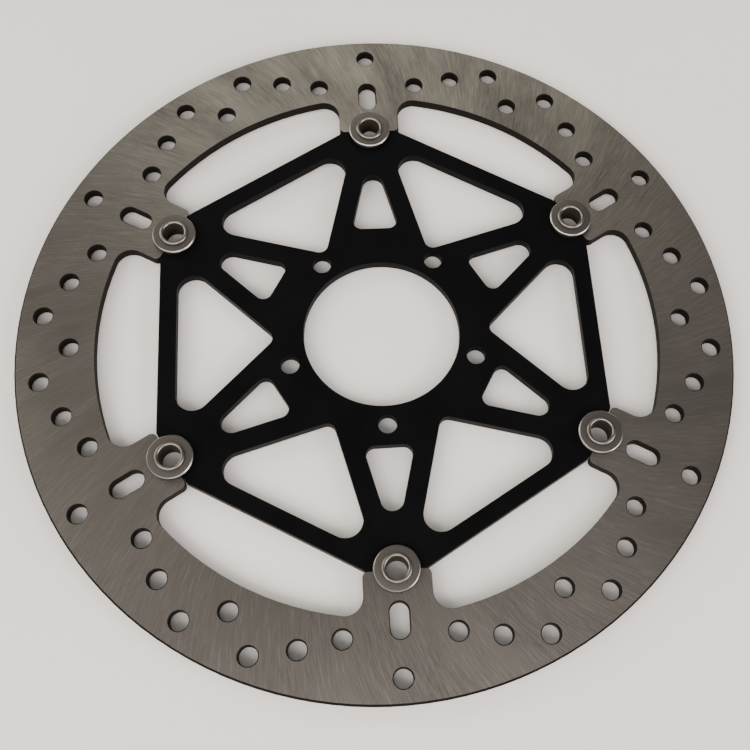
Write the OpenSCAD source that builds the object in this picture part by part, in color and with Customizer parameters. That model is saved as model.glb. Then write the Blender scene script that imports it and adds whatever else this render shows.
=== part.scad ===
// Full-floating motorcycle front brake disc.
// A drilled and slotted stainless ring is carried by a light six-armed plate.
// Six hollow bobbins join the two, each with a flat washer and a wave washer.
// Z is the wheel's axis. z = 0 is the back face of the plate, which bolts to the wheel hub.
// Units are millimetres.

/* [Brake ring] */
// Outside diameter of the brake ring
ring_d = 320; // [290:1:400]
// Thickness of the brake ring
ring_t = 5; // [4:0.1:7]
// Width of the braked band, from the rim in to the windows
band_w = 34; // [30:0.5:42]
// Reach of each lug, from the windows in to the bobbin's axis
lug_reach = 19.5; // [17:0.5:26]
// Width of each lug
lug_w = 28.6; // [24:0.2:36]
// Radius on the lug's two inner corners
lug_corner_r = 2.5; // [1:0.5:4]
// Radius in the corner between a lug and a window
window_corner_r = 7.5; // [3:0.5:9]
// Diameter of the drilled holes
hole_d = 8; // [5:0.5:10]
// Countersink on the drilled holes and slots, both faces
hole_chamfer = 0.4; // [0.1:0.1:0.8]
// Distance from the rim in to the outer row of holes
row_1_inset = 10.3; // [8:0.1:13]
// Distance from the rim in to the second row of holes
row_2_inset = 18; // [14:0.5:20]
// Distance from the rim in to the third row of holes
row_3_inset = 23; // [20:0.5:25]
// Distance from the rim in to the inner row of holes
row_4_inset = 25; // [22:0.5:27]
// Overall length of the slot in each lug
slot_l = 15; // [10:0.5:20]
// Distance from the rim in to the middle of each slot
slot_inset = 33; // [28:0.5:36]

/* [Carrier] */
// Thickness of the carrier plate
carrier_t = 5; // [4:0.1:7]
// Diameter of the bore that centres the disc on the wheel hub
hub_bore_d = 70; // [56:0.5:74]
// Diameter of the bolt circle
bolt_circle_d = 87; // [84:0.5:92]
// Diameter of the bolt holes
bolt_hole_d = 8.4; // [6.4:0.1:10.5]
// Number of bolt holes
bolt_count = 5; // [3:1:6]
// Distance that the straight edges lie in from the faces at the bobbins
edge_drop = 7.7; // [5:0.1:10]
// Radius on the plate's outer corners
plate_corner_r = 3; // [1:0.5:4]
// Width of the bar along each straight edge
rim_bar_w = 7.7; // [6:0.1:12]
// Width of each spoke
spoke_w = 8.9; // [7:0.1:11]
// Angle between a spoke and the line to its bobbin
spoke_tilt = 14.2; // [12:0.1:16]
// Solid length behind each bobbin face
pad_l = 24.3; // [18:0.1:26]
// Radius of the narrow end of each small opening
small_end_r = 5; // [3:0.1:5.5]
// Radius of the two inner corners of each small opening
small_corner_r = 4; // [2:0.1:5]
// Distance from the axis to the inner edge of each small opening
small_inner_r = 53; // [50:0.5:55]
// Radius of the two outer corners of each large opening
large_corner_r = 7.5; // [3:0.5:9]
// Radius of the inner corner of each large opening
large_apex_r = 4; // [2:0.1:6]

/* [Bobbins] */
// Gap between a lug and the carrier's face
lug_gap = 0.4; // [0.2:0.1:1]
// Diameter of the bobbin's shank
shank_d = 14; // [12:0.1:17]
// Running clearance on the shank's radius
shank_clearance = 0.06; // [0.02:0.01:0.1]
// Diameter of the bobbin's head, behind the disc
head_d = 20; // [18:0.1:24]
// Thickness of the bobbin's head
head_t = 2; // [1:0.1:3]
// Diameter of the neck that the flat washer sits on
neck_d = 11.4; // [10:0.1:11.8]
// Diameter of the hole through the bobbin
bobbin_bore_d = 9.3; // [6:0.1:9.6]
// Diameter of the rolled lip that holds the flat washer on
lip_d = 12.8; // [12.2:0.1:15]
// Height of the rolled lip above the flat washer
lip_h = 1.3; // [0.8:0.1:1.8]

/* [Washers] */
// Diameter of the flat washer
washer_d = 19.5; // [18:0.1:24]
// Thickness of the flat washer
washer_t = 1.5; // [1:0.1:2.5]
// Chamfer on the flat washer's upper edge
washer_chamfer = 0.4; // [0.1:0.1:0.8]
// Clearance between the neck and the flat washer, on the radius
washer_clearance = 0.1; // [0.05:0.05:0.2]
// Diameter of the wave washer
wave_d = 19; // [18:0.1:24]
// Thickness of the wave washer's strip
wave_t = 0.4; // [0.3:0.05:0.6]
// Height of the wave washer from crest to crest, as fitted
wave_h = 1.1; // [0.9:0.05:1.5]
// Clearance between the shank and the wave washer, on the radius
wave_clearance = 0.4; // [0.2:0.05:0.6]
// Number of waves round the wave washer
wave_count = 3; // [2:1:4]

/* [Hidden] */
$fn = 96;

// Bobbins are numbered from the top, going clockwise as seen from the front.
bobbin_count = 6;
sector = 360 / bobbin_count;
function bobbin_angle(i) = 90 - (i - 1) * sector;

ring_r = ring_d / 2;
window_r = ring_r - band_w;
bobbin_circle_r = window_r - lug_reach;
lug_face = bobbin_circle_r + lug_gap / 2;
plate_face = bobbin_circle_r - lug_gap / 2;
plate_edge = plate_face - edge_drop;
notch_r = shank_d / 2 + shank_clearance;

// Heights on the bobbin's axis. The wave washer lies on both plates, so where it lies the
// thinner plate is built up to the thicker one's height.
seat_z = max(ring_t, carrier_t);
shoulder_z = seat_z + wave_h;
washer_top_z = shoulder_z + washer_t;

// The drilled holes of one sector: angle from the lug's middle, and distance in from the rim.
HOLES = [
    [0, row_1_inset],
    [10, row_4_inset], [-10, row_4_inset],
    [17, row_2_inset], [-17, row_2_inset],
    [24, row_1_inset], [-24, row_1_inset],
    [sector / 2, row_3_inset]
];

// How far a cutting tool runs past a face, so that the cut is clean.
past = 1;

// A point from its radius and its angle.
function polar(r, a) = [r * cos(a), r * sin(a)];

// Where two straight lines cross, each given by the angle of its normal and its distance out.
function meet(a, da, b, db) =
    [da * sin(b) - db * sin(a), db * cos(a) - da * cos(b)] / sin(b - a);

// The angle of the normal on the outer tangent from one corner circle to the next.
function tangent_angle(p, q) =
    let (along = [q[0] - p[0], q[1] - p[1]])
    atan2(along[1], along[0]) - acos((p[2] - q[2]) / norm(along));

// A straight-sided outline with round corners. Each corner is [x, y, radius] of its
// circle, and they go round anticlockwise.
module rounded_outline(corners) {
    count = len(corners);
    polygon([
        for (i = [0 : count - 1])
            let (p = corners[i], q = corners[(i + 1) % count], a = tangent_angle(p, q))
            for (c = [p, q]) [c[0], c[1]] + polar(c[2], a)
    ]);
    for (c = corners)
        translate([c[0], c[1]]) circle(r = c[2]);
}

// Repeats its children at each bobbin, with the bobbin's line along +Y.
module at_each_bobbin() {
    for (i = [1 : bobbin_count])
        rotate(bobbin_angle(i) - 90) children();
}

// ---- Brake ring ----

// A lug with its inner corners rounded, and its root spread into the band on each side
// by a fillet that runs into the window's arc.
module lug_outline() {
    half = lug_w / 2;
    corner_x = half - lug_corner_r;
    corner_y = lug_face + lug_corner_r;
    fillet_x = half + window_corner_r;
    fillet_y = sqrt(pow(window_r - window_corner_r, 2) - pow(fillet_x, 2));
    root = [fillet_x, fillet_y] * (window_r + past) / (window_r - window_corner_r);
    translate([-corner_x, lug_face])
        square([2 * corner_x, 2 * lug_corner_r]);
    for (side = [-1, 1])
        translate([side * corner_x, corner_y]) circle(r = lug_corner_r);
    difference() {
        polygon([
            [-half, corner_y], [half, corner_y],
            [half, fillet_y], [fillet_x, fillet_y], root,
            [root[0], window_r + past], [-root[0], window_r + past],
            [-root[0], root[1]], [-fillet_x, fillet_y], [-half, fillet_y]
        ]);
        for (side = [-1, 1])
            translate([side * fillet_x, fillet_y]) circle(r = window_corner_r);
    }
}

// The flat shape of the ring before the holes are drilled.
module ring_outline() {
    difference() {
        union() {
            difference() {
                circle(r = ring_r);
                circle(r = window_r);
            }
            at_each_bobbin() lug_outline();
        }
        at_each_bobbin()
            translate([0, bobbin_circle_r]) circle(r = notch_r);
    }
}

// The washers' seats on a plate of this height, cut from the plate's outline.
module washer_seats(height) {
    if (height < seat_z)
        linear_extrude(height = seat_z)
            intersection() {
                children();
                at_each_bobbin() translate([0, bobbin_circle_r]) circle(d = washer_d);
            }
}

// A hole through the ring with a countersink on each face.
module ring_hole() {
    r = hole_d / 2;
    translate([0, 0, -past]) cylinder(r = r, h = ring_t + 2 * past);
    translate([0, 0, -past])
        cylinder(r1 = r + hole_chamfer + past, r2 = r, h = hole_chamfer + past);
    translate([0, 0, ring_t - hole_chamfer])
        cylinder(r1 = r, r2 = r + hole_chamfer + past, h = hole_chamfer + past);
}

// A slot as wide as the holes, along the lug, with the same countersink.
module ring_slot() {
    half = (slot_l - hole_d) / 2;
    narrow = hole_d / 2;
    wide = narrow + hole_chamfer + past;
    for (side = [-1, 1])
        translate([0, side * half, 0]) ring_hole();
    rotate([90, 0, 0])
        linear_extrude(height = 2 * half, center = true)
            polygon([
                [-wide, -past], [wide, -past],
                [narrow, hole_chamfer], [narrow, ring_t - hole_chamfer],
                [wide, ring_t + past], [-wide, ring_t + past],
                [-narrow, ring_t - hole_chamfer], [-narrow, hole_chamfer]
            ]);
}

module brake_ring() {
    color("#86807a")
        union() {
            difference() {
                linear_extrude(height = ring_t) ring_outline();
                at_each_bobbin() {
                    for (hole = HOLES)
                        rotate(hole[0]) translate([0, ring_r - hole[1], 0]) ring_hole();
                    translate([0, ring_r - slot_inset, 0]) ring_slot();
                }
            }
            washer_seats(ring_t) ring_outline();
        }
}

// ---- Carrier ----

// The outer outline: a face at each bobbin and a straight edge between faces.
module plate_outline() {
    r = plate_corner_r;
    rounded_outline([
        for (i = [0 : bobbin_count - 1])
            let (edge = i * sector, face = edge + sector / 2)
            for (p = [
                meet(edge, plate_edge - r, face, plate_face - r),
                meet(face, plate_face - r, edge + sector, plate_edge - r)
            ]) [p[0], p[1], r]
    ]);
}

// Distance from the axis to a spoke's inner side, measured square to that side.
small_end_y = plate_face - pad_l - small_end_r;
spoke_inner = small_end_r + small_end_y * sin(spoke_tilt);
spoke_outer = spoke_inner + spoke_w;

// The opening between the two spokes that run to one bobbin, with the bobbin along +Y.
module small_opening() {
    inner = small_inner_r + small_corner_r;
    right = meet(90, inner, spoke_tilt, spoke_inner - small_corner_r);
    rounded_outline([
        [right[0], right[1], small_corner_r],
        [0, small_end_y, small_end_r],
        [-right[0], right[1], small_corner_r]
    ]);
}

// The opening between two bobbins' spokes, with its middle line along +Y.
module large_opening() {
    left_leg = sector / 2 + spoke_tilt;
    right_leg = 180 - left_leg;
    outer = plate_edge - rim_bar_w - large_corner_r;
    corner_out = spoke_outer + large_corner_r;
    apex_out = spoke_outer + large_apex_r;
    apex = meet(right_leg, apex_out, left_leg, apex_out);
    right = meet(90, outer, right_leg, corner_out);
    rounded_outline([
        [apex[0], apex[1], large_apex_r],
        [right[0], right[1], large_corner_r],
        [-right[0], right[1], large_corner_r]
    ]);
}

// The flat shape of the carrier.
module carrier_outline() {
    difference() {
        plate_outline();
        circle(d = hub_bore_d);
        for (i = [0 : bolt_count - 1])
            rotate(i * 360 / bolt_count)
                translate([0, -bolt_circle_d / 2]) circle(d = bolt_hole_d);
        at_each_bobbin() {
            translate([0, bobbin_circle_r]) circle(r = notch_r);
            small_opening();
            rotate(sector / 2) large_opening();
        }
    }
}

module carrier() {
    color("#161618")
        union() {
            linear_extrude(height = carrier_t) carrier_outline();
            washer_seats(carrier_t) carrier_outline();
        }
}

// ---- Bobbins and washers ----

// Puts its children on one bobbin's axis.
module on_bobbin(i) {
    translate(concat(polar(bobbin_circle_r, bobbin_angle(i)), 0)) children();
}

// Half of the rolled lip's section. Its top is half round, or has a flat between two
// rounded edges where the lip is too low for that.
module lip_section() {
    bore_r = bobbin_bore_d / 2;
    lip_w = lip_d / 2 - bore_r;
    roll_r = min(lip_w / 2, lip_h);
    roll_z = washer_top_z + lip_h - roll_r;
    if (lip_h > roll_r)
        translate([bore_r, washer_top_z]) square([lip_w, lip_h - roll_r]);
    // The roll, cut off level with the washer that it holds down.
    intersection() {
        union() {
            translate([bore_r + roll_r, roll_z]) circle(r = roll_r);
            if (lip_w > 2 * roll_r) {
                translate([lip_d / 2 - roll_r, roll_z]) circle(r = roll_r);
                translate([bore_r + roll_r, roll_z]) square([lip_w - 2 * roll_r, roll_r]);
            }
        }
        translate([0, washer_top_z]) square([head_d, lip_h + past]);
    }
}

// A hollow bobbin: head behind the disc, shank through it, neck and rolled lip in front.
module bobbin(i) {
    bore_r = bobbin_bore_d / 2;
    color("#b9b4ac")
        on_bobbin(i)
            rotate_extrude() {
                polygon([
                    [bore_r, -head_t],
                    [head_d / 2 - washer_chamfer, -head_t],
                    [head_d / 2, washer_chamfer - head_t],
                    [head_d / 2, 0],
                    [shank_d / 2, 0],
                    [shank_d / 2, shoulder_z],
                    [neck_d / 2, shoulder_z],
                    [neck_d / 2, washer_top_z],
                    [bore_r, washer_top_z]
                ]);
                lip_section();
            }
}

module flat_washer(i) {
    hole_r = neck_d / 2 + washer_clearance;
    color("#8d8a86")
        on_bobbin(i)
            rotate_extrude()
                polygon([
                    [hole_r, shoulder_z],
                    [washer_d / 2, shoulder_z],
                    [washer_d / 2, washer_top_z - washer_chamfer],
                    [washer_d / 2 - washer_chamfer, washer_top_z],
                    [hole_r, washer_top_z]
                ]);
}

// A thin strip washer that waves up and down as it goes round. It is a closed ring of
// four-cornered sections, and each section's height follows a sine of its angle.
module wave_washer(i) {
    steps = 24 * wave_count;
    inner_r = shank_d / 2 + wave_clearance;
    outer_r = wave_d / 2;
    swing = (wave_h - wave_t) / 2;
    section = [[inner_r, 0], [outer_r, 0], [outer_r, wave_t], [inner_r, wave_t]];
    sides = len(section);
    points = [
        for (s = [0 : steps - 1], p = section)
            let (a = s * 360 / steps)
            concat(polar(p[0], a), seat_z + swing * (1 - cos(wave_count * a)) + p[1])
    ];
    faces = [
        for (s = [0 : steps - 1], k = [0 : sides - 1])
            let (
                here = s * sides,
                next = ((s + 1) % steps) * sides,
                m = (k + 1) % sides,
                quad = [here + k, next + k, next + m, here + m]
            )
            for (f = [[quad[0], quad[1], quad[2]], [quad[0], quad[2], quad[3]]]) f
    ];
    color("#6f6c69")
        on_bobbin(i) polyhedron(points = points, faces = faces);
}

brake_ring();
carrier();
for (i = [1 : bobbin_count]) {
    bobbin(i);
    flat_washer(i);
    wave_washer(i);
}
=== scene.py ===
import math

import bpy
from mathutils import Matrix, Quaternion, Vector


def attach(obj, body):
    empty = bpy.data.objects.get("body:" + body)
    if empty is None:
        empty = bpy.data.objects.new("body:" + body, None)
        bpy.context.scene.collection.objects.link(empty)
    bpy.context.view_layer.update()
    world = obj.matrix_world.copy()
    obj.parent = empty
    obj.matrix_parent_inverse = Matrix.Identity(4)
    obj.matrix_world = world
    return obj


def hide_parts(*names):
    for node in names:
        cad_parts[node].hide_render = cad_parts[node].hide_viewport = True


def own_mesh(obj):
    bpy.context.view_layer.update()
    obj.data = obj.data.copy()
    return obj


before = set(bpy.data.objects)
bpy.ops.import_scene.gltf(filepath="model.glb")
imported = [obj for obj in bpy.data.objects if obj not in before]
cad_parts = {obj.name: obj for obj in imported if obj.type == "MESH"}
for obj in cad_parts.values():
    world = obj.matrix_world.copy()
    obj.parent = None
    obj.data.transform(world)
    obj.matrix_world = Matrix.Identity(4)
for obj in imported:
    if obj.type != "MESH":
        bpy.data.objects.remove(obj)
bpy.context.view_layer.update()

MM = 0.001
BOBBIN_COUNT = 6
BOBBIN_CIRCLE = 106.5 * MM
RING_RADIUS = 160 * MM

# Points closer than this are one point.
MERGE_GAP = 0.002 * MM

# Heights on a bobbin's axis.
SEAT_Z = 5.0 * MM
SHOULDER_Z = 6.1 * MM
WASHER_TOP_Z = 7.6 * MM
LIP_TOP_Z = 8.9 * MM
HEAD_Z = -2.0 * MM

# Sides of a turned piece.
TURNING_STEPS = 96


def bobbin_turn(number):
    """The angle at which a bobbin stands, counted clockwise from the top."""
    return math.radians(90 - (number - 1) * 360 / BOBBIN_COUNT)


# ---- Working at the bench ----

def only(piece):
    """Selects one piece and nothing else."""
    bpy.ops.object.select_all(action="DESELECT")
    piece.select_set(True)
    bpy.context.view_layer.objects.active = piece


def apply_modifier(piece, kind, **settings):
    """Adds one modifier, sets it and applies it."""
    only(piece)
    modifier = piece.modifiers.new(kind.lower(), kind)
    for setting, value in settings.items():
        setattr(modifier, setting, value)
    bpy.ops.object.modifier_apply(modifier=modifier.name)


def close_up(piece):
    """Merges doubles and turns every face outwards."""
    only(piece)
    bpy.ops.object.mode_set(mode="EDIT")
    bpy.ops.mesh.select_all(action="SELECT")
    bpy.ops.mesh.remove_doubles(threshold=MERGE_GAP)
    bpy.ops.mesh.normals_make_consistent(inside=False)
    bpy.ops.object.mode_set(mode="OBJECT")


def settle(piece):
    """Leaves the piece's place in its mesh, with its object at the origin."""
    only(piece)
    bpy.ops.object.transform_apply(location=True, rotation=True, scale=True)


def arc(x, z, radius, start, end, steps):
    """Points along an arc of a turning profile, as (radius from the axis, height)."""
    turns = [math.radians(start + (end - start) * k / steps) for k in range(steps + 1)]
    return [(x + radius * math.cos(a), z + radius * math.sin(a)) for a in turns]


# ---- Plates: the ring and the carrier, with their edges broken ----

def chamfer_rim(plate, radius, width):
    """Chamfers the two outer edges of a round plate."""
    slack = 0.1 * MM
    only(plate)
    points = plate.data.vertices
    at_rim = [math.hypot(point.co.x, point.co.y) > radius - slack for point in points]
    bpy.ops.object.mode_set(mode="EDIT")
    bpy.ops.mesh.select_mode(type="EDGE")
    bpy.ops.mesh.select_all(action="DESELECT")
    bpy.ops.object.mode_set(mode="OBJECT")
    for edge in plate.data.edges:
        one, other = edge.vertices
        level = abs(points[one].co.z - points[other].co.z) < slack
        edge.select = at_rim[one] and at_rim[other] and level
    bpy.ops.object.mode_set(mode="EDIT")
    bpy.ops.mesh.bevel(offset=width, offset_type="OFFSET", segments=1, affect="EDGES")
    bpy.ops.mesh.select_mode(type="VERT")
    bpy.ops.object.mode_set(mode="OBJECT")


def broken_edges(node, name, width, segments, rim=None):
    """A copy of a cut plate with its sharp edges taken off, as after deburring.
    rim is the outer radius and the width of a larger chamfer round it."""
    same_plane, corner, smooth = math.radians(0.2), math.radians(60), math.radians(28)
    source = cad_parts[node]
    plate = source.copy()
    plate.data = source.data.copy()
    plate.name = plate.data.name = name
    plate.parent = None
    for key in [k for k in plate.keys() if k.startswith("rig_")]:
        del plate[key]
    bpy.context.scene.collection.objects.link(plate)
    only(plate)
    bpy.ops.mesh.customdata_custom_splitnormals_clear()
    bpy.ops.object.mode_set(mode="EDIT")
    bpy.ops.mesh.select_all(action="SELECT")
    bpy.ops.mesh.remove_doubles(threshold=MERGE_GAP)
    bpy.ops.mesh.mark_sharp(clear=True)
    bpy.ops.mesh.dissolve_limited(angle_limit=same_plane)
    bpy.ops.object.mode_set(mode="OBJECT")
    if rim:
        chamfer_rim(plate, *rim)
    apply_modifier(plate, "BEVEL", width=width, segments=segments,
                   limit_method="ANGLE", angle_limit=corner, use_clamp_overlap=True)
    only(plate)
    bpy.ops.object.shade_smooth_by_angle(angle=smooth)
    apply_modifier(plate, "WEIGHTED_NORMAL", keep_sharp=True, weight=100)
    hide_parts(node)
    return plate


# ---- Turned pieces ----

def turned(name, profile):
    """Turns a closed profile round the Z axis, ring by ring, as on a lathe."""
    bpy.ops.object.select_all(action="DESELECT")
    radius, height = profile[0]
    bpy.ops.mesh.primitive_circle_add(vertices=TURNING_STEPS, radius=radius,
                                      location=(0, 0, height))
    piece = bpy.context.active_object
    piece.name = piece.data.name = name
    bpy.ops.object.mode_set(mode="EDIT")
    for next_radius, next_height in profile[1:] + profile[:1]:
        bpy.ops.mesh.extrude_region_move(
            TRANSFORM_OT_translate={"value": (0, 0, next_height - height)})
        share = next_radius / radius
        bpy.ops.transform.resize(value=(share, share, 1),
                                 center_override=(0, 0, next_height))
        radius, height = next_radius, next_height
    bpy.ops.object.mode_set(mode="OBJECT")
    settle(piece)
    close_up(piece)
    return piece


def bobbin_profile():
    """Head behind the disc, shank, shoulder and neck, and the rolled lip in front."""
    bore, head, shank, neck, lip = 4.65 * MM, 10 * MM, 7 * MM, 5.7 * MM, 6.4 * MM
    edge, foot = 0.4 * MM, 0.22 * MM
    roll = (lip - bore) / 2
    roll_z = LIP_TOP_Z - roll
    return (
        [(bore, HEAD_Z + edge), (bore + edge, HEAD_Z)]
        + arc(head - edge, HEAD_Z + edge, edge, -90, 0, 4)
        + arc(head - edge / 2, -edge / 2, edge / 2, 0, 90, 3)
        + [(shank, 0), (shank, SHOULDER_Z), (neck, SHOULDER_Z), (neck, WASHER_TOP_Z)]
        + arc(lip - foot, WASHER_TOP_Z + foot, foot, -90, 0, 3)
        + arc(lip - roll, roll_z, roll, 0, 180, 16)
    )


def flat_washer_profile():
    """A thick flat washer with a bright chamfer round its upper edge."""
    hole, rim = 5.8 * MM, 9.75 * MM
    chamfer, soft = 0.4 * MM, 0.08 * MM
    return (
        [(hole, SHOULDER_Z + soft), (hole + soft, SHOULDER_Z)]
        + arc(rim - 2 * soft, SHOULDER_Z + 2 * soft, 2 * soft, -90, 0, 3)
        + arc(rim - soft, WASHER_TOP_Z - chamfer - soft, soft, 0, 45, 2)
        + arc(rim - chamfer - soft, WASHER_TOP_Z - soft, soft, 45, 90, 2)
        + [(hole + soft, WASHER_TOP_Z), (hole, WASHER_TOP_Z - soft)]
    )


def wave_washer():
    """A thin strip ring, pressed into three waves."""
    inner, outer, strip = 7.4 * MM, 9.5 * MM, 0.4 * MM
    waves, swing = 3, 0.35 * MM
    bpy.ops.object.select_all(action="DESELECT")
    bpy.ops.mesh.primitive_circle_add(vertices=TURNING_STEPS, radius=inner,
                                      location=(0, 0, SEAT_Z))
    piece = bpy.context.active_object
    piece.name = piece.data.name = "wave_washer"
    bpy.ops.object.mode_set(mode="EDIT")
    bpy.ops.mesh.extrude_region_move()
    share = outer / inner
    bpy.ops.transform.resize(value=(share, share, 1), center_override=(0, 0, SEAT_Z))
    bpy.ops.object.mode_set(mode="OBJECT")
    settle(piece)
    step = 2 * math.pi / TURNING_STEPS
    no_lift = 1e-9
    # The first lift takes the whole outer edge up with it, by 0.007 mm.
    for k in range(TURNING_STEPS):
        turn = k * step
        lift = swing * (1 - math.cos(waves * turn))
        if lift < no_lift:
            continue
        for vertex in piece.data.vertices:
            off = math.atan2(vertex.co.y, vertex.co.x) - turn
            vertex.select = abs(math.remainder(off, 2 * math.pi)) < step / 2
        bpy.ops.object.mode_set(mode="EDIT")
        bpy.ops.transform.translate(value=(0, 0, lift))
        bpy.ops.mesh.select_all(action="DESELECT")
        bpy.ops.object.mode_set(mode="OBJECT")
    close_up(piece)
    upwards = sum(face.normal.z for face in piece.data.polygons) > 0
    apply_modifier(piece, "SOLIDIFY", thickness=strip, offset=1 if upwards else -1)
    close_up(piece)
    return piece


def axis_map(piece):
    """Keeps each point's place across the axis, in millimetres, for the turning marks."""
    layer = piece.data.uv_layers.new(name="across_axis")
    for loop in piece.data.loops:
        place = piece.data.vertices[loop.vertex_index].co
        layer.data[loop.index].uv = (place.x / MM, place.y / MM)


def fit_at_each_bobbin(master, name, smooth_angle):
    """Copies a finished piece to every bobbin, each copy with its own mesh."""
    axis_map(master)
    only(master)
    bpy.ops.object.shade_smooth_by_angle(angle=math.radians(smooth_angle))
    fitted = []
    for number in range(1, BOBBIN_COUNT + 1):
        only(master)
        bpy.ops.object.duplicate(linked=False)
        piece = bpy.context.active_object
        piece.name = piece.data.name = f"{name}_{number}_looks"
        turn = bobbin_turn(number)
        piece.location = (BOBBIN_CIRCLE * math.cos(turn), BOBBIN_CIRCLE * math.sin(turn), 0)
        settle(piece)
        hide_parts(f"{name}_{number}")
        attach(piece, f"bobbin_{number}")
        fitted.append(piece)
    bpy.data.objects.remove(master)
    return fitted


# ---- Finishes ----

def add(tree, kind, inputs=None, **settings):
    """One shader node, with its settings, and its inputs joined or set."""
    made = tree.nodes.new("ShaderNode" + kind)
    for setting, value in settings.items():
        setattr(made, setting, value)
    for key, value in (inputs or {}).items():
        if isinstance(value, bpy.types.NodeSocket):
            tree.links.new(value, made.inputs[key])
        else:
            made.inputs[key].default_value = value
    return made


def maths(tree, operation, a, b=0.0):
    """One sum on one or two values."""
    return add(tree, "Math", {0: a, 1: b}, operation=operation).outputs[0]


def weigh(tree, *parts):
    """Adds up values, each with its own weight."""
    total = 0.0
    for value, weight in parts:
        total = maths(tree, "ADD", total, maths(tree, "MULTIPLY", value, weight))
    return total


def spread(tree, value, low, high, to_low, to_high):
    """Carries a value from one range to another, and holds it at the ends."""
    made = add(tree, "MapRange", {"Value": value, "From Min": low, "From Max": high,
                                  "To Min": to_low, "To Max": to_high})
    return made.outputs["Result"]


def blend_colour(tree, share, one, other):
    """Mixes two colours, each given as a socket or as red, green and blue."""
    one, other = (colour if isinstance(colour, bpy.types.NodeSocket) else (*colour, 1)
                  for colour in (one, other))
    # A mix of colours takes its share at input 0 and its colours at 6 and 7.
    return add(tree, "Mix", {0: share, 6: one, 7: other}, data_type="RGBA").outputs[2]


def noise(tree, place, scale, detail, roughness=0.5):
    """Soft random values, about 0.3 to 0.7."""
    made = add(tree, "TexNoise", {"Vector": place, "Scale": scale, "Detail": detail,
                                  "Roughness": roughness})
    return made.outputs["Fac"]


def distance_out(tree, place):
    """How far each point lies from the Z axis, with its X and Y."""
    split = add(tree, "SeparateXYZ", {0: place}).outputs
    x, y = split["X"], split["Y"]
    squares = maths(tree, "ADD", maths(tree, "MULTIPLY", x, x), maths(tree, "MULTIPLY", y, y))
    return maths(tree, "SQRT", squares), x, y


def flatness(tree):
    """1 on a flat face and 0 on an upright wall, from the surface's own direction."""
    facing = add(tree, "TexCoord").outputs["Normal"]
    return maths(tree, "ABSOLUTE", add(tree, "SeparateXYZ", {0: facing}).outputs["Z"])


def finish_material(name, metallic, constants):
    """A new material with its shader. Numbers that don't vary go straight on the shader."""
    made = bpy.data.materials.new(name)
    made.use_nodes = True
    tree = made.node_tree
    shader = tree.nodes["Principled BSDF"]
    shader.inputs["Metallic"].default_value = metallic
    for socket, value in constants.items():
        shader.inputs[socket].default_value = value
    return made, tree, shader


def colour_metal(tree, shader, face, wall, wall_shade_colour):
    """Bare metal on the faces; the walls get the given near-black, non-metal tone: painted
    shade, on the ring partly the oxide of the cut edge.
    """
    tree.links.new(blend_colour(tree, wall, face, wall_shade_colour), shader.inputs["Base Color"])
    tree.links.new(maths(tree, "SUBTRACT", 1.0, wall), shader.inputs["Metallic"])


def raise_grain(tree, shader, height, strength, depth):
    """Gives the surface its fine relief."""
    bump = add(tree, "Bump", {"Height": height, "Strength": strength, "Distance": depth})
    tree.links.new(bump.outputs[0], shader.inputs["Normal"])


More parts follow.
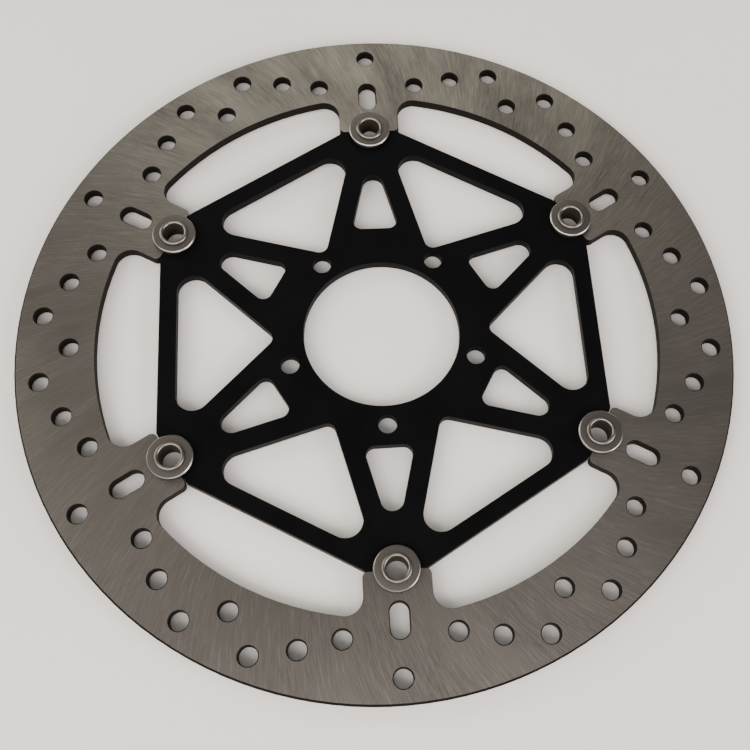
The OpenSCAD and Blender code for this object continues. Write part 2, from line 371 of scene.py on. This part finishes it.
def ground_stainless():
    """Steel ground by a cup wheel: short curved marks from the middle out, with a weak
    set crossing them, soft patches and broad stripes of painted sheen, painted glints on
    light scratches, and walls and chamfers painted near-black: partly the oxide of the
    cut edge, partly painted shade."""
    made, tree, shader = finish_material("ground_stainless", 1.0,
                                         {"Anisotropic": 0.55, "Specular IOR Level": 0.03})
    wheel_d = 0.4
    band_middle_r = 0.145
    hollow, ridge = (0.113, 0.100, 0.091), (0.182, 0.165, 0.151)
    # The lighter tone over soft patches and broad stripes along the marks is painted sheen,
    # partly random tone of the steel; the light scratch colour is a painted glint.
    painted_sheen_tone, glinting_scratch = (0.216, 0.197, 0.173), (0.33, 0.31, 0.29)
    # Near-black tone for walls and chamfers: partly the oxide of the laser cut, partly
    # painted shade for the shadow gap under the rim and the dark hole outlines.
    wall_shade = (0.0085, 0.0070, 0.0062)

    place = add(tree, "TexCoord").outputs["Object"]
    out, x, y = distance_out(tree, place)
    turn = maths(tree, "ARCTAN2", y, x)
    lean = maths(tree, "ARCSINE", maths(tree, "DIVIDE", out, wheel_d))
    main_set = maths(tree, "SUBTRACT", turn, lean)
    cross_set = maths(tree, "ADD", turn, lean)

    def marks(angle, across, along, detail):
        """Noise drawn out along one set of arcs. across and along are per metre."""
        reach = band_middle_r * across
        where = add(tree, "CombineXYZ", {
            "X": maths(tree, "MULTIPLY", maths(tree, "COSINE", angle), reach),
            "Y": maths(tree, "MULTIPLY", maths(tree, "SINE", angle), reach),
            "Z": maths(tree, "MULTIPLY", out, along)}).outputs[0]
        return noise(tree, where, 1.0, detail, 0.6)

    fine = marks(main_set, 3000, 130, 3)
    broad = marks(main_set, 1500, 100, 2)
    crossing = marks(cross_set, 1500, 120, 2)
    # Broad stripes along the marks, where painted sheen lies.
    sheen_bands = marks(main_set, 60, 12, 2)
    patches = noise(tree, place, 34, 3, 0.55)
    grain = weigh(tree, (fine, 0.5), (broad, 0.35), (crossing, 0.15))
    sheen_cloud = weigh(tree, (sheen_bands, 0.55), (patches, 0.45))

    face = blend_colour(tree, spread(tree, grain, 0.41, 0.59, 0.0, 1.0), hollow, ridge)
    # Painted sheen: the face lightens over the patches and stripes.
    face = blend_colour(tree, spread(tree, sheen_cloud, 0.38, 0.62, 0.0, 0.65), face, painted_sheen_tone)
    # Painted glints: light fine scratches, shown only where the painted sheen lies.
    bright = maths(tree, "MULTIPLY", spread(tree, broad, 0.56, 0.72, 0.0, 1.0),
                   spread(tree, sheen_cloud, 0.42, 0.6, 0.1, 0.45))
    face = blend_colour(tree, bright, face, glinting_scratch)
    # Walls and chamfers take the painted shade tone.
    wall = spread(tree, flatness(tree), 0.75, 0.95, 1.0, 0.0)
    colour_metal(tree, shader, face, wall, wall_shade)

    worn = maths(tree, "ADD", spread(tree, grain, 0.35, 0.65, 0.43, 0.35),
                 spread(tree, sheen_cloud, 0.38, 0.62, 0.06, -0.06))
    rough = maths(tree, "MAXIMUM", worn, maths(tree, "MULTIPLY", wall, 0.6))
    tree.links.new(rough, shader.inputs["Roughness"])
    raise_grain(tree, shader, grain, 0.45, 0.03 * MM)

    # The sheen stretches across the grinding marks.
    tangent = add(tree, "CombineXYZ", {
        "X": maths(tree, "MULTIPLY", maths(tree, "SINE", cross_set), -1.0),
        "Y": maths(tree, "COSINE", cross_set), "Z": 0.0}).outputs[0]
    tree.links.new(tangent, shader.inputs["Tangent"])
    return made


def black_anodised():
    """Satin black anodising: a fine grain, faint handling marks, and thinner colour
    along the broken edges."""
    made, tree, shader = finish_material("black_anodised", 0.0, {"Specular IOR Level": 0.04})
    deep, faded = (0.0024, 0.0022, 0.0026), (0.0034, 0.0032, 0.0037)
    rubbed = (0.012, 0.012, 0.013)

    place = add(tree, "TexCoord").outputs["Object"]
    grain = noise(tree, place, 9000, 2, 0.6)
    handled = noise(tree, place, 42, 4, 0.6)
    flat = flatness(tree)
    edge = maths(tree, "MULTIPLY", spread(tree, flat, 0.1, 0.3, 0.0, 1.0),
                 spread(tree, flat, 0.8, 0.97, 1.0, 0.0))
    worn_edge = maths(tree, "MULTIPLY", edge, spread(tree, handled, 0.4, 0.65, 0.25, 1.0))
    black = blend_colour(tree, spread(tree, handled, 0.3, 0.7, 0.0, 1.0), deep, faded)
    black = blend_colour(tree, maths(tree, "MULTIPLY", worn_edge, 0.5), black, rubbed)
    tree.links.new(black, shader.inputs["Base Color"])

    rough = maths(tree, "ADD", spread(tree, handled, 0.3, 0.7, 0.40, 0.52),
                  spread(tree, grain, 0.3, 0.7, -0.03, 0.03))
    tree.links.new(rough, shader.inputs["Roughness"])
    raise_grain(tree, shader, grain, 0.25, 0.01 * MM)
    return made


def turned_steel(name, dark, light, smoothest, roughest, groove, polish_and_highlight):
    """Turned steel: fine rings about the piece's own axis, duller where it is flat.
    The last argument sets how much smoother its rounded and chamfered edges are,
    and how much lighter they are painted: a painted highlight."""
    made, tree, shader = finish_material(name, 1.0, {"Specular IOR Level": 0.03})
    # The pale edge tone is a painted highlight, partly a real smoother finish; the near-black
    # wall tone is painted shade on bores and side walls.
    edge_highlight_tone, wall_shade = (0.46, 0.44, 0.42), (0.030, 0.025, 0.019)

    out, _, _ = distance_out(tree, add(tree, "UVMap", uv_map="across_axis").outputs[0])
    rings = noise(tree, add(tree, "CombineXYZ", {"X": out}).outputs[0], 9.0, 3, 0.65)
    handled = noise(tree, add(tree, "TexCoord").outputs["Object"], 420, 4, 0.6)
    flat = flatness(tree)
    edge = maths(tree, "MULTIPLY", spread(tree, flat, 0.35, 0.55, 0.0, 1.0),
                 spread(tree, flat, 0.8, 0.95, 1.0, 0.0))
    # Painted highlight on rounded and chamfered edges, partly a real smoother finish.
    shine = maths(tree, "MULTIPLY", edge, polish_and_highlight)
    worked = blend_colour(tree, spread(tree, rings, 0.3, 0.7, 0.0, 1.0), dark, light)
    worked = blend_colour(tree, spread(tree, handled, 0.35, 0.7, 0.0, 0.3), worked, dark)
    worked = blend_colour(tree, shine, worked, edge_highlight_tone)
    # Bores and side walls go near-black and non-metal: painted shade.
    wall = spread(tree, flat, 0.06, 0.3, 1.0, 0.0)
    colour_metal(tree, shader, worked, wall, wall_shade)

    rough = maths(tree, "ADD", spread(tree, rings, 0.3, 0.7, roughest, smoothest),
                  spread(tree, handled, 0.3, 0.7, -0.01, 0.02))
    rough = maths(tree, "MULTIPLY", rough, spread(tree, shine, 0.0, 1.0, 1.0, 0.7))
    tree.links.new(rough, shader.inputs["Roughness"])
    raise_grain(tree, shader, rings, groove, 0.02 * MM)
    return made


def pale_floor():
    """Plain pale paint with a faint mottle."""
    made, tree, shader = finish_material("pale_floor", 0.0, {"Roughness": 0.6})
    shade, paint = (0.835, 0.80, 0.765), (0.865, 0.83, 0.795)
    mottle = noise(tree, add(tree, "TexCoord").outputs["Object"], 5, 3)
    colour = blend_colour(tree, spread(tree, mottle, 0.35, 0.65, 0.0, 1.0), shade, paint)
    tree.links.new(colour, shader.inputs["Base Color"])
    return made


def dress(piece, material):
    """Gives a piece one finish all over, in one slot."""
    piece.data.materials.clear()
    piece.data.materials.append(material)


# ---- Making the disc ----

# The ring's wide rim chamfer takes the near-black wall tone: painted shade for the shadow gap
# under the rim.
ring = broken_edges("brake_ring", "brake_ring_looks", width=0.1 * MM, segments=1,
                    rim=(RING_RADIUS, 0.8 * MM))
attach(ring, "ring")
dress(ring, ground_stainless())

carrier = broken_edges("carrier", "carrier_looks", width=0.25 * MM, segments=2)
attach(carrier, "carrier")
dress(carrier, black_anodised())

bobbin_steel = turned_steel("bobbin_steel", (0.165, 0.151, 0.138), (0.215, 0.198, 0.183),
                            smoothest=0.33, roughest=0.38, groove=0.01, polish_and_highlight=0.15)
washer_steel = turned_steel("washer_steel", (0.098, 0.088, 0.081), (0.142, 0.129, 0.119),
                            smoothest=0.42, roughest=0.50, groove=0.06, polish_and_highlight=0.7)
spring_steel = turned_steel("spring_steel", (0.07, 0.063, 0.058), (0.12, 0.11, 0.10),
                            smoothest=0.36, roughest=0.46, groove=0.1, polish_and_highlight=0.4)

for piece in fit_at_each_bobbin(turned("bobbin", bobbin_profile()), "bobbin",
                                smooth_angle=35):
    dress(piece, bobbin_steel)
for piece in fit_at_each_bobbin(turned("flat_washer", flat_washer_profile()),
                                "flat_washer", smooth_angle=35):
    dress(piece, washer_steel)
springs = fit_at_each_bobbin(wave_washer(), "wave_washer", smooth_angle=40)
for number, piece in enumerate(springs, 1):
    dress(piece, spring_steel)
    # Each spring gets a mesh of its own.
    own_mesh(piece)


# ---- Floor, light and camera ----

bpy.ops.object.select_all(action="DESELECT")
# The floor lies a hair under the bobbins' heads, so that no two faces share a place.
bpy.ops.mesh.primitive_plane_add(size=12, location=(0, 0, HEAD_Z - 0.05 * MM))
floor = bpy.context.active_object
floor.name = "floor"
floor.data.materials.append(pale_floor())
settle(floor)

room = bpy.data.worlds.new("room")
bpy.context.scene.world = room
room.use_nodes = True
air = room.node_tree.nodes["Background"].inputs
air["Color"].default_value = (1.0, 0.975, 0.945, 1)
air["Strength"].default_value = 0.2


def soft_light(name, place, width, power, colour):
    """A square soft box that faces the middle of the disc."""
    lamp = bpy.data.lights.new(name, "AREA")
    lamp.shape, lamp.size, lamp.energy, lamp.color = "SQUARE", width, power, colour
    box = bpy.data.objects.new(name, lamp)
    bpy.context.scene.collection.objects.link(box)
    box.location = place
    box.rotation_mode = "QUATERNION"
    box.rotation_quaternion = (-Vector(place)).to_track_quat("-Z", "Y")


soft_light("right_window", (1.85, -1.07, 0.86), 1.5, 58, (1.0, 0.92, 0.93))
soft_light("left_window", (-1.48, -0.86, 1.54), 1.5, 43, (1.0, 0.97, 0.925))
soft_light("front_lamp", (0, -1.71, 1.54), 1.5, 40, (1.0, 0.93, 0.91))
soft_light("back_left_lamp", (-1.85, 1.07, 0.86), 1.5, 33, (1.0, 0.98, 0.82))
soft_light("back_lamp", (0, 1.71, 1.54), 1.2, 9, (1.0, 0.99, 0.88))
soft_light("ceiling_lamp", (0, -0.48, 2.25), 1.2, 7, (1.0, 0.97, 0.94))

aim = Vector((26.2, -22.2, 5.0)) * MM
eye = Vector((-10.8, -182.5, 421.1)) * MM
roll = Quaternion((0, 0, 1), math.radians(9.079))
lens = bpy.data.cameras.new("camera")
lens.sensor_width, lens.lens, lens.shift_x = 36, 48.49, -0.092
lens.clip_start, lens.clip_end = 0.01, 20
camera = bpy.data.objects.new("camera", lens)
bpy.context.scene.collection.objects.link(camera)
camera.location = eye
camera.rotation_mode = "QUATERNION"
camera.rotation_quaternion = (aim - eye).to_track_quat("-Z", "Y") @ roll
bpy.context.scene.camera = camera
